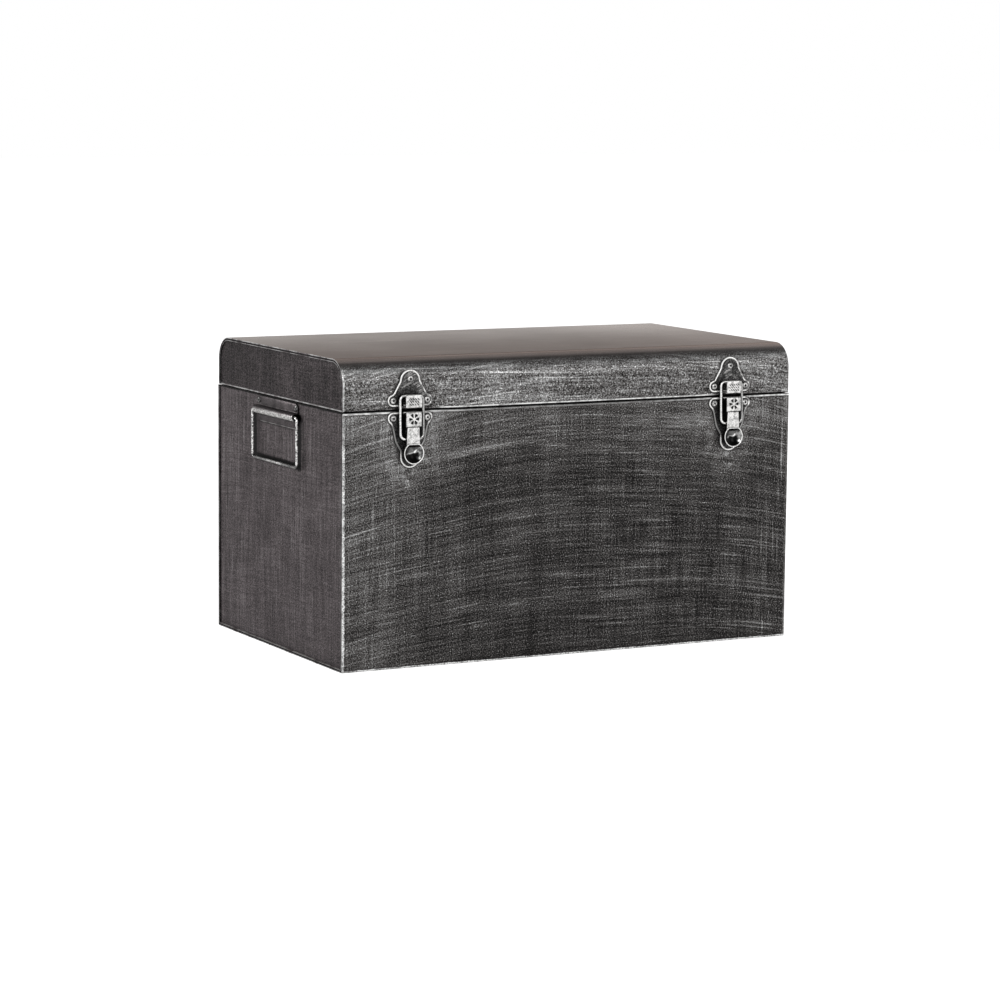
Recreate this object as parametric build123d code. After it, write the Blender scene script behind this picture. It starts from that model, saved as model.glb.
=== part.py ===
from build123d import *
import os

# A sheet metal storage box: a deep base, a hinged lid, two draw latches on the front
# and a wire handle on each end. Millimetres. The origin is the middle of the underside,
# X runs along the front to the right, Y runs to the back and Z is up.

# Box and lid
box_width = 500.0
box_depth = 300.0
base_height = 250.0
lid_height = 49.2
seam_gap = 0.8             # open joint between the base rim and the lid
lid_inset = 0.5            # the lid is this much smaller than the base on each side
sheet = 1.0                # thickness of the box sheets
lid_corner_radius = 24.0   # long rounded edges of the lid
bottom_bend_radius = 1.5
end_hem_width = 3.0        # edge of a wrap sheet folded over its end panel
end_flange_depth = 6.0     # edge of an end panel turned inward under the wrap
base_rim_hem_height = 12.0
lid_rim_hem_height = 5.0
hem_end_gap = 0.5

# Rivets
rivet_head_radius = 3.0
rivet_head_height = 1.3
rivet_dimple_radius = 1.1
rivet_dimple_depth = 0.4
rivet_shank_radius = 1.5
rivet_tail_radius = 2.4
rivet_tail_height = 0.9
rivet_hole_clearance = 0.05
curved_wall_setback = 1.1    # extra grip where the lid's wall starts to curve away

# Latches
latch_end_distance = 71.0    # from the end of the box to the middle of a latch
latch_plate_thickness = 1.2
latch_ear_half_spacing = 18.0
latch_ear_radius = 5.8
latch_outline_rounding = 1.5
keeper_lobe_radius = 10.8
keeper_lobe_rise = 27.7      # middle of the top lobe above the lid's lower edge
keeper_rivet_rise = 29.7
keeper_ear_rise = 9.2
keeper_hook_width = 17.0
keeper_hook_rise = 2.3       # underside of the hook above the lid's lower edge
keeper_hook_height = 12.5
keeper_hook_reach = 9.5      # front of the hook from the front of the base
keeper_bend_radius = 1.0
catch_ear_drop = 7.0         # ears of the lower plate below the base rim
catch_shoulder_half_width = 15.8
catch_shoulder_drop = 30.0
catch_lobe_radius = 10.3
catch_lobe_drop = 44.8

# Lever
lever_sheet = 1.2
lever_reach = 9.5            # front of the lever from the front of the base
lever_width = 16.0
lever_top_drop = 0.4         # top of the lever below the base rim
lever_wide_length = 14.4
lever_flange_tail = 7.0      # wide side flange below the wide face
lever_flange_back = 3.2      # back edge of the side flanges from the front of the base
lever_neck_width = 13.0      # across the neck's side flanges
lever_neck_top_width = 12.4
lever_neck_foot_width = 14.0
lever_neck_step = 0.7        # the neck's face lies this far behind the wide face
lever_neck_length = 17.8
lever_bend_radius = 0.8
pivot_drop = 4.0             # lever pivot below the base rim
pivot_reach = 6.0            # lever pivot from the front of the base
pivot_radius = 1.1
pivot_head_radius = 1.7
pivot_head_height = 0.6
pivot_lug_radius = 2.0
pivot_lug_sheet = 1.2
pivot_lug_foot_height = 7.0
bowl_radius = 10.3
bowl_depth = 6.2
bowl_sheet = 1.0
bowl_rim_radius = 0.7
bowl_drop = 40.2             # middle of the thumb bowl below the base rim
bowl_rim_reach = 9.7

# Latch bail
bail_wire_radius = 1.2
bail_half_width = 12.2
bail_pivot_reach = 5.0
bail_pivot_drop = 27.0       # lower bar of the bail below the base rim
bail_leg_reach = 4.0         # where the leg starts to lean out to the keeper
bail_crank_rise = 2.0
bail_bar_rise = 14.3         # upper bar of the bail above the base rim
bail_top_corner_radius = 4.0
bail_bottom_corner_radius = 5.5
bail_crank_radius = 8.0
bail_butt_gap = 0.6
bail_hook_clearance = 0.3    # between the upper bar and the front of the keeper's hook

# Handles
handle_plate_half_width = 49.7
handle_plate_thickness = 1.2
handle_plate_top_drop = 1.0
handle_plate_bottom_drop = 26.5
handle_plate_corner_radius = 5.0
handle_rivet_half_spacing = 44.5
handle_rivet_drop = 5.5
handle_axis_drop = 14.5      # axis of the handle below the base rim
handle_axis_reach = 3.6      # axis of the handle from the end of the base
handle_wire_radius = 1.75
handle_half_width = 53.5
handle_length = 48.5
handle_top_corner_radius = 3.5
handle_bottom_corner_radius = 4.5
handle_butt_gap = 2.0

# Hinges
hinge_end_distance = 100.0   # from the end of the box to the middle of a hinge
hinge_width = 50.0
hinge_sheet = 1.2
hinge_pin_radius = 1.5
hinge_wall_gap = 0.3         # between a knuckle and the back of the base
hinge_knuckle_gap = 0.4
hinge_middle_knuckle = 20.0
hinge_base_leaf_height = 34.0
hinge_lid_leaf_height = 22.5
hinge_leaf_corner_radius = 6.0
hinge_rivet_half_spacing = 17.0
hinge_base_rivet_drop = 7.0
hinge_base_low_rivet_drop = 25.0
hinge_lid_rivet_rise = 8.0
hinge_lid_high_rivet_rise = 16.5
hinge_head_height = 0.8
stop_length = 8.0            # flange on the lid leaf that meets the base leaf
stop_gap = 0.3
lid_open_angle = 110.0

# Fits
running_clearance = 0.05     # radial, on every pin and pivot

# Planes and heights worked out from the sizes above
front_y = -box_depth / 2
back_y = box_depth / 2
end_x = box_width / 2
latch_x = end_x - latch_end_distance
hinge_x = end_x - hinge_end_distance
panel_x = end_x - sheet
lid_bottom = base_height + seam_gap
lid_top = lid_bottom + lid_height
lid_front_y = front_y + lid_inset
lid_back_y = back_y - lid_inset
lid_end_x = end_x - lid_inset
rivet_hole_radius = rivet_shank_radius + rivet_hole_clearance
cut_over = 1.0               # how far a cutter runs past what it cuts

os.makedirs("parts", exist_ok=True)


def save(shape, name):
    export_step(shape, "parts/" + name + ".step")


def box_between(x0, x1, y0, y1, z0, z1):
    low = (min(x0, x1), min(y0, y1), min(z0, z1))
    size = (abs(x1 - x0), abs(y1 - y0), abs(z1 - z0))
    return Pos(*low) * Box(*size, align=Align.MIN)


def extrude_x(face, x0, x1):
    """A face drawn in (y, z), made solid from x0 to x1."""
    plane = Plane((x0, 0, 0), x_dir=(0, 1, 0), z_dir=(1, 0, 0))
    return extrude(plane * face, x1 - x0)


def front_plane(y):
    """Drawing plane in (x, z) that looks out of the front of the box."""
    return Plane((0, y, 0), x_dir=(1, 0, 0), z_dir=(0, -1, 0))


def back_plane(y):
    """Drawing plane that looks out of the back; its own x runs to the left."""
    return Plane((0, y, 0), x_dir=(-1, 0, 0), z_dir=(0, 1, 0))


def end_plane(side, x):
    """Drawing plane that looks out of an end; side is 1 on the right and -1 on the left."""
    return Plane((side * x, 0, 0), x_dir=(0, side, 0), z_dir=(side, 0, 0))


# Folded sheets of the base and the lid


def base_outline(inset):
    width = box_depth - 2 * inset
    height = base_height - inset
    face = Pos(0, inset + height / 2) * Rectangle(width, height)
    radius = max(bottom_bend_radius - inset, 0.3)
    return fillet(face.vertices().sort_by(Axis.Y)[:2], radius)


def lid_outline(inset):
    width = box_depth - 2 * lid_inset - 2 * inset
    height = lid_height - inset
    face = Pos(0, lid_bottom + height / 2) * Rectangle(width, height)
    return fillet(face.vertices().sort_by(Axis.Y)[-2:], lid_corner_radius - inset)


def make_wrap(outline, end, wall_y, hem_low, hem_high):
    """Front, middle and back in one sheet, with folded ends and rims."""
    skin = extrude_x(outline(0) - outline(sheet), -end, end)
    ring = outline(0) - outline(end_hem_width)
    wrap = skin + extrude_x(ring, -end, -end + sheet) + extrude_x(ring, end - sheet, end)
    hem_x = end - 2 * sheet - end_flange_depth - hem_end_gap
    for side in (-1, 1):
        inner = side * (wall_y - sheet)
        wrap += box_between(-hem_x, hem_x, inner, inner - side * sheet, hem_low, hem_high)
    return wrap


def make_end(outline, end, side, wall_y, hem_low, hem_high):
    """An end panel that lies inside the folded edge of the wrap."""
    outer = side * (end - sheet)
    inner = side * (end - 2 * sheet)
    tip = side * (end - 2 * sheet - end_flange_depth)
    panel = extrude_x(outline(sheet), min(outer, inner), max(outer, inner))
    flange = extrude_x(outline(sheet) - outline(2 * sheet), min(inner, tip), max(inner, tip))
    half = wall_y - 2 * sheet
    hem = box_between(inner, inner - side * sheet, -half, half, hem_low, hem_high)
    return panel + flange + hem


# Rivets


def make_rivet(grip):
    """A dimpled rivet along Z: head above 0, shank down through the grip, and a tail."""
    rim = 0.25
    low = -grip - rivet_tail_height
    top = rivet_head_height
    crest = (rivet_dimple_radius + rim, top)
    shoulder = ((rivet_head_radius + crest[0]) / 2 + 0.25, top * 0.78)
    edges = Polyline((0, top - rivet_dimple_depth), (rivet_dimple_radius, top - rivet_dimple_depth), crest)
    edges += ThreePointArc(crest, shoulder, (rivet_head_radius, 0))
    edges += Polyline(
        (rivet_head_radius, 0),
        (rivet_shank_radius, 0),
        (rivet_shank_radius, -grip),
        (rivet_tail_radius, -grip),
        (rivet_tail_radius, low),
        (0, low),
        (0, top - rivet_dimple_depth),
    )
    return revolve(Plane.XZ * make_face(edges), Axis.Z)


def rivets_on(plane, spots):
    """Rivets with their heads on a plane; each spot is (u, v, grip)."""
    return Compound(children=[plane * Pos(u, v) * make_rivet(grip) for u, v, grip in spots])


def drill(shape, plane, spots, radius=rivet_hole_radius):
    """Round holes along a plane's normal, deep enough for every sheet under it."""
    for spot in spots:
        depth = spot[2] + 2 * cut_over
        shape -= plane * Pos(spot[0], spot[1], cut_over) * Cylinder(
            radius, depth, align=(Align.CENTER, Align.CENTER, Align.MAX))
    return shape


# Latch


def soften(face):
    """Rounds the inward corners of an outline."""
    grown = offset(face, latch_outline_rounding, kind=Kind.ARC)
    return offset(grown, -latch_outline_rounding, kind=Kind.ARC)


def ears(height):
    both = Sketch()
    for side in (-1, 1):
        both += Pos(side * latch_ear_half_spacing, height) * Circle(latch_ear_radius)
    return both


def keeper_face():
    lobe = lid_bottom + keeper_lobe_rise
    ear = lid_bottom + keeper_ear_rise
    low = ear - latch_ear_radius
    side = [
        (latch_ear_half_spacing, low),
        (latch_ear_half_spacing, ear + latch_ear_radius),
        (keeper_lobe_radius, lobe),
    ]
    points = side + [(-x, z) for x, z in reversed(side)]
    face = make_face(Polyline(*points, close=True))
    return soften(face + ears(ear) + Pos(0, lobe) * Circle(keeper_lobe_radius))


def catch_face():
    ear = base_height - catch_ear_drop
    lobe = base_height - catch_lobe_drop
    shoulder = base_height - catch_shoulder_drop
    side = [
        (latch_ear_half_spacing, ear + latch_ear_radius),
        (latch_ear_half_spacing + latch_ear_radius * 0.45, ear - latch_ear_radius * 0.86),
        (latch_ear_half_spacing + 0.8, ear - latch_ear_radius * 1.6),
        (catch_shoulder_half_width, shoulder),
        (catch_lobe_radius, lobe + catch_lobe_radius * 0.6),
        (catch_lobe_radius, lobe),
    ]
    points = side + [(-x, z) for x, z in reversed(side)]
    face = make_face(Polyline(*points, close=True))
    return soften(face + ears(ear) + Pos(0, lobe) * Circle(catch_lobe_radius))


def keeper_spots():
    grip = latch_plate_thickness + sheet
    ear = lid_bottom + keeper_ear_rise
    spots = [(side * latch_ear_half_spacing, ear, grip) for side in (-1, 1)]
    return spots + [(0, lid_bottom + keeper_rivet_rise, grip + curved_wall_setback)]


def catch_spots():
    grip = latch_plate_thickness + sheet
    ear = base_height - catch_ear_drop
    spots = [(side * latch_ear_half_spacing, ear, grip + sheet) for side in (-1, 1)]
    return spots + [(0, base_height - catch_lobe_drop, grip)]


def make_keeper():
    """Three-lobed plate on the lid whose lower tongue is folded out and up into a hook."""
    plane = front_plane(lid_front_y)
    plate = extrude(plane * keeper_face(), latch_plate_thickness)
    low = lid_bottom + keeper_hook_rise
    high = low + keeper_hook_height
    front = front_y - keeper_hook_reach
    half = keeper_hook_width / 2
    thick = latch_plate_thickness
    web = box_between(-half, half, lid_front_y, front, low, low + thick)
    lip = box_between(-half, half, front, front + thick, low, high)
    hook = web + lip
    corner = hook.edges().filter_by(Axis.X).sort_by(lambda e: e.center().Y + e.center().Z)[0]
    hook = fillet(corner, keeper_bend_radius)
    root = box_between(-half, half, lid_front_y, lid_front_y - thick, low, lid_bottom + keeper_ear_rise)
    keeper = plate + root + hook
    return drill(keeper, front_plane(lid_front_y - thick), keeper_spots())


def pivot_lug(x0, x1):
    """An ear of the lower plate that holds one end of the lever's pin."""
    pivot = (front_y - pivot_reach, base_height - pivot_drop)
    plate = front_y - latch_plate_thickness
    foot_top = pivot[1] - pivot_lug_radius / 2
    tip = Pos(*pivot) * Circle(pivot_lug_radius)
    body = make_face(Polyline(
        (plate, foot_top - pivot_lug_foot_height),
        (pivot[0], pivot[1] - pivot_lug_radius),
        (pivot[0], pivot[1] + pivot_lug_radius),
        (pivot[0] + pivot_lug_radius, pivot[1] + pivot_lug_radius / 2),
        (plate, foot_top),
        close=True))
    hole = Pos(*pivot) * Circle(pivot_radius + running_clearance)
    return extrude_x(tip + body - hole, x0, x1)


def make_catch():
    """Lower latch plate with the two lugs that carry the lever."""
    plate = extrude(front_plane(front_y) * catch_face(), latch_plate_thickness)
    outer = lever_width / 2 - lever_sheet - 1.0
    for side in (-1, 1):
        edge = side * outer
        inner = side * (outer - pivot_lug_sheet)
        plate += pivot_lug(min(edge, inner), max(edge, inner))
    return drill(plate, front_plane(front_y - latch_plate_thickness), catch_spots())


def lever_flange(points, x0, x1, hole):
    face = make_face(Polyline(*points, close=True))
    face -= Pos(*hole[:2]) * Circle(hole[2])
    return extrude_x(face, min(x0, x1), max(x0, x1))


def make_lever():
    """Folded lever: a wide head on the pivot, a narrower neck that holds the bail, and a bowl."""
    front = front_y - lever_reach
    back = front_y - lever_flange_back
    top = base_height - lever_top_drop
    head_low = top - lever_wide_length
    neck_low = head_low - lever_neck_length
    pivot = (front_y - pivot_reach, base_height - pivot_drop)
    bail = (front_y - bail_pivot_reach, base_height - bail_pivot_drop)
    half = lever_width / 2
    neck = lever_neck_width / 2
    neck_front = front + lever_neck_step
    lap = lever_neck_step + lever_sheet
    head = box_between(-half, half, front, front + lever_sheet, head_low, top)
    tab = make_face(Polyline(
        (-lever_neck_top_width / 2, head_low + lap),
        (lever_neck_top_width / 2, head_low + lap),
        (lever_neck_foot_width / 2, neck_low),
        (-lever_neck_foot_width / 2, neck_low),
        close=True))
    neck_face = extrude(front_plane(neck_front + lever_sheet) * tab, lever_sheet)
    cheek = [
        (front + lever_sheet / 2, head_low - lever_flange_tail * 0.2),
        (front + lever_sheet / 2, top - lever_bend_radius),
        (pivot[0] + pivot_lug_radius, top - lever_bend_radius),
        (back, pivot[1] + 0.2),
        (back, head_low),
        (back - 1.2, head_low - lever_flange_tail),
        (front + lever_sheet + 1.2, head_low - lever_flange_tail),
    ]
    web = [
        (neck_front + lever_sheet / 2, bail[1] - 2.6),
        (neck_front + lever_sheet / 2, head_low + lap),
        (back - 0.6, head_low + lap),
        (back, bail[1] + 1.0),
        (back, bail[1] - 1.4),
        (back - 1.2, bail[1] - 2.6),
    ]
    pin_hole = (pivot[0], pivot[1], pivot_radius + running_clearance)
    bail_hole = (bail[0], bail[1], bail_wire_radius + running_clearance)
    lever = head + neck_face
    for side in (-1, 1):
        lever += lever_flange(cheek, side * (half - lever_sheet), side * half, pin_hole)
        lever += lever_flange(web, side * (neck - lever_sheet), side * neck, bail_hole)
    return lever + make_bowl(neck_low)


def make_bowl(top):
    """Thumb bowl below the lever's neck: part of a hollow ball with a rolled rim, closed at its top."""
    ball = (bowl_radius ** 2 + bowl_depth ** 2) / (2 * bowl_depth)
    rim_y = front_y - bowl_rim_reach
    centre_y = rim_y + bowl_depth - ball
    centre_z = base_height - bowl_drop
    shell = Sphere(ball) - Sphere(ball - bowl_sheet)
    reach = ball + cut_over
    high = top + lever_sheet
    cap = box_between(-reach, reach, rim_y, centre_y + reach, centre_z - reach, high)
    whole = Pos(0, centre_y, centre_z) * Sphere(ball)
    shell = (Pos(0, centre_y, centre_z) * shell) & cap
    wall = box_between(-reach, reach, rim_y + lever_neck_step, centre_y + reach, top, high)
    rim = Pos(0, rim_y, centre_z) * Rot(90, 0, 0) * Torus(bowl_radius - bowl_rim_radius / 2, bowl_rim_radius)
    below = box_between(-reach, reach, rim_y - reach, rim_y + reach, centre_z - reach, high)
    return shell + [whole & wall, rim & below]


def make_lever_pin():
    half = lever_width / 2 + 0.15
    y = front_y - pivot_reach
    z = base_height - pivot_drop
    pin = Pos(0, y, z) * Rot(0, 90, 0) * Cylinder(pivot_radius, 2 * half)
    for side in (-1, 1):
        x = side * (half + pivot_head_height / 2)
        pin += Pos(x, y, z) * Rot(0, 90, 0) * Cylinder(pivot_head_radius, pivot_head_height)
    return pin


def wire_along(points, radii, wire_radius):
    path = FilletPolyline(*points, radius=radii)
    start = path.edges()[0]
    section = Plane(start @ 0, z_dir=start % 0) * Circle(wire_radius)
    return sweep(section, path)


def make_latch_bail():
    """Bent wire loop whose lower bar turns in the lever and whose upper bar meets the keeper."""
    low = base_height - bail_pivot_drop
    crank = base_height + bail_crank_rise
    high = base_height + bail_bar_rise
    pivot_y = front_y - bail_pivot_reach
    leg_y = front_y - bail_leg_reach
    bar_y = front_y - keeper_hook_reach - bail_hook_clearance - bail_wire_radius
    gap = bail_butt_gap / 2
    half = bail_half_width
    right = [(gap, pivot_y, low), (half, pivot_y, low), (half, leg_y, crank), (half, bar_y, high)]
    left = [(-x, y, z) for x, y, z in reversed(right)]
    rise = [bail_bottom_corner_radius, bail_crank_radius, bail_top_corner_radius]
    return wire_along(right + left, rise + rise[::-1], bail_wire_radius)


# Handle


def handle_spots():
    grip = handle_plate_thickness + 2 * sheet
    height = base_height - handle_rivet_drop
    return [(side * handle_rivet_half_spacing, height, grip) for side in (-1, 1)]


def make_handle_plate(side):
    """Flat plate with a pressed channel across it, in which the handle wire turns."""
    high = base_height - handle_plate_top_drop
    low = base_height - handle_plate_bottom_drop
    face = Pos(0, (high + low) / 2) * RectangleRounded(
        2 * handle_plate_half_width, high - low, handle_plate_corner_radius)
    plate = extrude(end_plane(side, panel_x) * face, handle_plate_thickness)
    axis_z = base_height - handle_axis_drop
    axis_x = handle_axis_reach + end_x - panel_x
    bore = handle_wire_radius + running_clearance
    outer = bore + handle_plate_thickness
    channel = Pos(axis_x, axis_z) * Circle(outer) + Pos(axis_x / 2, axis_z) * Rectangle(axis_x, 2 * outer)
    hollow = Pos(axis_x, axis_z) * Circle(bore) + Pos(axis_x / 2, axis_z) * Rectangle(axis_x, 2 * bore)
    long_way = Plane((panel_x, -handle_plate_half_width, 0), x_dir=(1, 0, 0), z_dir=(0, -1, 0))
    width = 2 * handle_plate_half_width
    tube = extrude(long_way * channel, -width)
    inside = extrude(long_way * hollow, -width)
    if side < 0:
        tube = tube.mirror(Plane.YZ)
        inside = inside.mirror(Plane.YZ)
    plate = plate + tube - inside
    return drill(plate, end_plane(side, panel_x + handle_plate_thickness), handle_spots())


def make_handle(side):
    x = side * (end_x + handle_axis_reach)
    high = base_height - handle_axis_drop
    low = high - handle_length
    gap = handle_butt_gap / 2
    half = handle_half_width
    near = [(x, -gap, high), (x, -half, high), (x, -half, low)]
    far = [(px, -py, pz) for px, py, pz in reversed(near)]
    bend = [handle_top_corner_radius, handle_bottom_corner_radius]
    return wire_along(near + far, bend + bend[::-1], handle_wire_radius)


# Hinge

hinge_bore = hinge_pin_radius + running_clearance
knuckle_radius = hinge_bore + hinge_sheet
hinge_y = back_y + hinge_wall_gap + knuckle_radius
hinge_z = base_height + seam_gap / 2


def knuckle(x0, x1):
    return extrude_x(Pos(hinge_y, hinge_z) * Circle(knuckle_radius), x0, x1)


def hinge_bore_cut():
    half = hinge_width / 2 + cut_over
    return extrude_x(Pos(hinge_y, hinge_z) * Circle(hinge_bore), -half, half)


def base_leaf_spots():
    grip = hinge_sheet + sheet
    high = base_height - hinge_base_rivet_drop
    spots = [(side * hinge_rivet_half_spacing, high, grip + sheet) for side in (-1, 1)]
    return spots + [(0, base_height - hinge_base_low_rivet_drop, grip)]


def lid_leaf_spots():
    grip = hinge_sheet + sheet
    low = lid_bottom + hinge_lid_rivet_rise
    spots = [(side * hinge_rivet_half_spacing, low, grip) for side in (-1, 1)]
    return spots + [(0, lid_bottom + hinge_lid_high_rivet_rise, grip)]


def make_base_leaf():
    half = hinge_width / 2
    middle = hinge_middle_knuckle / 2 + hinge_knuckle_gap
    low = base_height - hinge_base_leaf_height
    face = Pos(0, (hinge_z + low) / 2) * Rectangle(hinge_width, hinge_z - low)
    face = fillet(face.vertices().sort_by(Axis.Y)[:2], hinge_leaf_corner_radius)
    leaf = extrude(back_plane(back_y) * face, hinge_sheet)
    leaf += knuckle(-half, -middle) + knuckle(middle, half)
    reach = knuckle_radius + hinge_knuckle_gap
    leaf -= box_between(-middle, middle, back_y, hinge_y + reach, hinge_z - reach, hinge_z + reach)
    leaf -= hinge_bore_cut()
    return drill(leaf, back_plane(back_y + hinge_sheet), base_leaf_spots())


def make_stop():
    """Flange on the middle knuckle, drawn where it meets the base leaf and then turned back."""
    half = hinge_middle_knuckle / 2
    inner = back_y + hinge_sheet + stop_gap
    flange = box_between(-half, half, inner, inner + hinge_sheet, hinge_z, hinge_z - stop_length)
    turn = Pos(0, hinge_y, hinge_z) * Rot(lid_open_angle, 0, 0) * Pos(0, -hinge_y, -hinge_z)
    return turn * flange


def make_lid_leaf():
    half = hinge_width / 2
    middle = hinge_middle_knuckle / 2
    high = lid_bottom + hinge_lid_leaf_height
    face = Pos(0, (hinge_z + high) / 2) * Rectangle(hinge_width, high - hinge_z)
    face = fillet(face.vertices().sort_by(Axis.Y)[-2:], hinge_leaf_corner_radius)
    step = back_y + hinge_wall_gap + hinge_sheet - lid_back_y
    leaf = extrude(back_plane(lid_back_y) * face, step)
    thin = box_between(-half, half, lid_back_y + hinge_sheet, lid_back_y + step,
                       hinge_z + knuckle_radius, high)
    leaf -= thin
    reach = knuckle_radius + hinge_knuckle_gap
    for side in (-1, 1):
        leaf -= box_between(side * middle, side * (half + cut_over), lid_back_y, hinge_y + reach,
                            hinge_z - cut_over, hinge_z + reach)
    leaf += knuckle(-middle, middle) + make_stop()
    leaf -= hinge_bore_cut()
    return drill(leaf, back_plane(lid_back_y + hinge_sheet), lid_leaf_spots())


def make_hinge_pin():
    half = hinge_width / 2
    pin = extrude_x(Pos(hinge_y, hinge_z) * Circle(hinge_pin_radius), -half, half)
    for side in (-1, 1):
        x0 = side * half
        x1 = side * (half + hinge_head_height)
        head = Pos(hinge_y, hinge_z) * Circle(hinge_bore + hinge_sheet / 2)
        pin += extrude_x(head, min(x0, x1), max(x0, x1))
    return pin


# Sheets, drilled for every rivet that passes through them

base_wrap = make_wrap(base_outline, end_x, back_y, base_height - base_rim_hem_height, base_height)
lid_wrap = make_wrap(lid_outline, lid_end_x, lid_back_y, lid_bottom, lid_bottom + lid_rim_hem_height)

for side, name in ((-1, "left"), (1, "right")):
    shift = Pos(side * latch_x, 0, 0)
    keeper_plane = shift * front_plane(lid_front_y - latch_plate_thickness)
    catch_plane = shift * front_plane(front_y - latch_plate_thickness)
    lid_wrap = drill(lid_wrap, keeper_plane, keeper_spots())
    base_wrap = drill(base_wrap, catch_plane, catch_spots())
    save(shift * make_keeper(), "latch_" + name + "_keeper")
    save(rivets_on(keeper_plane, keeper_spots()), "latch_" + name + "_keeper_rivets")
    save(shift * make_catch(), "latch_" + name + "_plate")
    save(rivets_on(catch_plane, catch_spots()), "latch_" + name + "_plate_rivets")
    save(shift * make_lever(), "latch_" + name + "_lever")
    save(shift * make_lever_pin(), "latch_" + name + "_lever_pin")
    save(shift * make_latch_bail(), "latch_" + name + "_bail")

    hinge_shift = Pos(side * hinge_x, 0, 0)
    base_leaf_plane = hinge_shift * back_plane(back_y + hinge_sheet)
    lid_leaf_plane = hinge_shift * back_plane(lid_back_y + hinge_sheet)
    base_wrap = drill(base_wrap, base_leaf_plane, base_leaf_spots())
    lid_wrap = drill(lid_wrap, lid_leaf_plane, lid_leaf_spots())
    save(hinge_shift * make_base_leaf(), "hinge_" + name + "_base_leaf")
    save(rivets_on(base_leaf_plane, base_leaf_spots()), "hinge_" + name + "_base_rivets")
    save(hinge_shift * make_lid_leaf(), "hinge_" + name + "_lid_leaf")
    save(rivets_on(lid_leaf_plane, lid_leaf_spots()), "hinge_" + name + "_lid_rivets")
    save(hinge_shift * make_hinge_pin(), "hinge_" + name + "_pin")

    handle_plane = end_plane(side, panel_x + handle_plate_thickness)
    base_end = make_end(base_outline, end_x, side, back_y, base_height - base_rim_hem_height, base_height)
    lid_end = make_end(lid_outline, lid_end_x, side, lid_back_y, lid_bottom, lid_bottom + lid_rim_hem_height)
    save(drill(base_end, handle_plane, handle_spots()), "base_" + name + "_end")
    save(lid_end, "lid_" + name + "_end")
    save(make_handle_plate(side), "handle_" + name + "_plate")
    save(rivets_on(handle_plane, handle_spots()), "handle_" + name + "_plate_rivets")
    save(make_handle(side), "handle_" + name + "_bail")

save(base_wrap, "base_wrap")
save(lid_wrap, "lid_wrap")
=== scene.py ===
import math
import bpy
from mathutils import Matrix, Vector


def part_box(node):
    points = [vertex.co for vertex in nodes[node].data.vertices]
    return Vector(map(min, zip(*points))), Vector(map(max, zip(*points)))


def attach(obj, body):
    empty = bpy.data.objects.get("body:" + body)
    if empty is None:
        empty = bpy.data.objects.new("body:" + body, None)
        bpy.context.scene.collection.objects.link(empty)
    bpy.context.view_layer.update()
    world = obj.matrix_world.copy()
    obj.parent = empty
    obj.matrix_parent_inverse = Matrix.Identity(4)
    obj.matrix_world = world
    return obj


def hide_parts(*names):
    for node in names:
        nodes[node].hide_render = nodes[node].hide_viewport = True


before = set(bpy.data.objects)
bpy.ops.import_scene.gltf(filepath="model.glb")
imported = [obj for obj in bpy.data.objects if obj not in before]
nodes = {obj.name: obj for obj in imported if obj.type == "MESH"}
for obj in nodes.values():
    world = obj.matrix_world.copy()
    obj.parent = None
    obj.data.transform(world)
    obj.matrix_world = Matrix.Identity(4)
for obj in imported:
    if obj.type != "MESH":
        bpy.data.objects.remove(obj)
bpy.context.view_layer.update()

# Sizes and places, in metres, from the boxes of the CAD's nodes

MM = 0.001
X, Y, Z = range(3)


def tenth(place):
    """A place to the tenth of a millimetre, because the CAD's round shapes come as flat faces."""
    return round(place, 4)


def low(node, axis, inside=0.0):
    """The lowest place of a CAD node along an axis, or one that is some way inside it."""
    return tenth(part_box(node)[0][axis] + inside)


def high(node, axis, inside=0.0):
    """The highest place of a CAD node along an axis, or one that is some way inside it."""
    return tenth(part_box(node)[1][axis] - inside)


def middle(node, axis):
    """The middle of a CAD node along an axis."""
    return tenth((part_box(node)[0][axis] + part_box(node)[1][axis]) / 2)


# The box
HALF_X = high("base_wrap", X)
HALF_Y = high("base_wrap", Y)
BASE_TOP = high("base_wrap", Z)
LID_DEPTH = high("lid_wrap", Y)
LID_TOP = high("lid_wrap", Z)
HALF_HEIGHT = LID_TOP / 2
SEAM = tenth((BASE_TOP + low("lid_wrap", Z)) / 2)
LID_ROUNDING = 24.0 * MM
HEM_WIDTH = 3.0 * MM

# The latches: the fronts of their plates, the lever's pin, and the wire about it
SHEET_THICK = 1.2 * MM
HALF_SHEET = SHEET_THICK / 2
LATCH_X = middle("latch_right_lever", X)
KEEPER_FACE = -LID_DEPTH - SHEET_THICK
PLATE_FACE = -HALF_Y - SHEET_THICK
STRIP_FRONT = low("latch_left_keeper", Y, HALF_SHEET)
PIN_Y = middle("latch_left_lever_pin", Y)
PIN_Z = middle("latch_left_lever_pin", Z)
WIRE_RADIUS = 1.2 * MM
BAIL_LOW = low("latch_left_bail", Z)
BAIL_TOP = high("latch_left_bail", Z)
BAIL_HALF = tenth(high("latch_right_bail", X) - LATCH_X)
LATCH_LOW = low("latch_left_plate", Z)

# The hatched hook of the keeper, the foot of the lever's head and its thumb bowl
HOOK_LOW = low("latch_left_keeper", Z, HALF_SHEET)
HOOK_TOP = BAIL_TOP - 0.25 * MM
HEAD_FOOT = PIN_Z - 10.45 * MM
BOWL_RADIUS = 10.3 * MM
BOWL_BEAD = 1.033
BOWL_Z = low("latch_left_lever", Z, BOWL_BEAD * BOWL_RADIUS)
BOWL_Y = low("latch_left_lever", Y, 0.7 * MM)

# The rivets' heads
RIVET_RADIUS = 3.0 * MM
RIVET_REACH = tenth(high("latch_right_keeper_rivets", X, RIVET_RADIUS) - LATCH_X)

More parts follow.
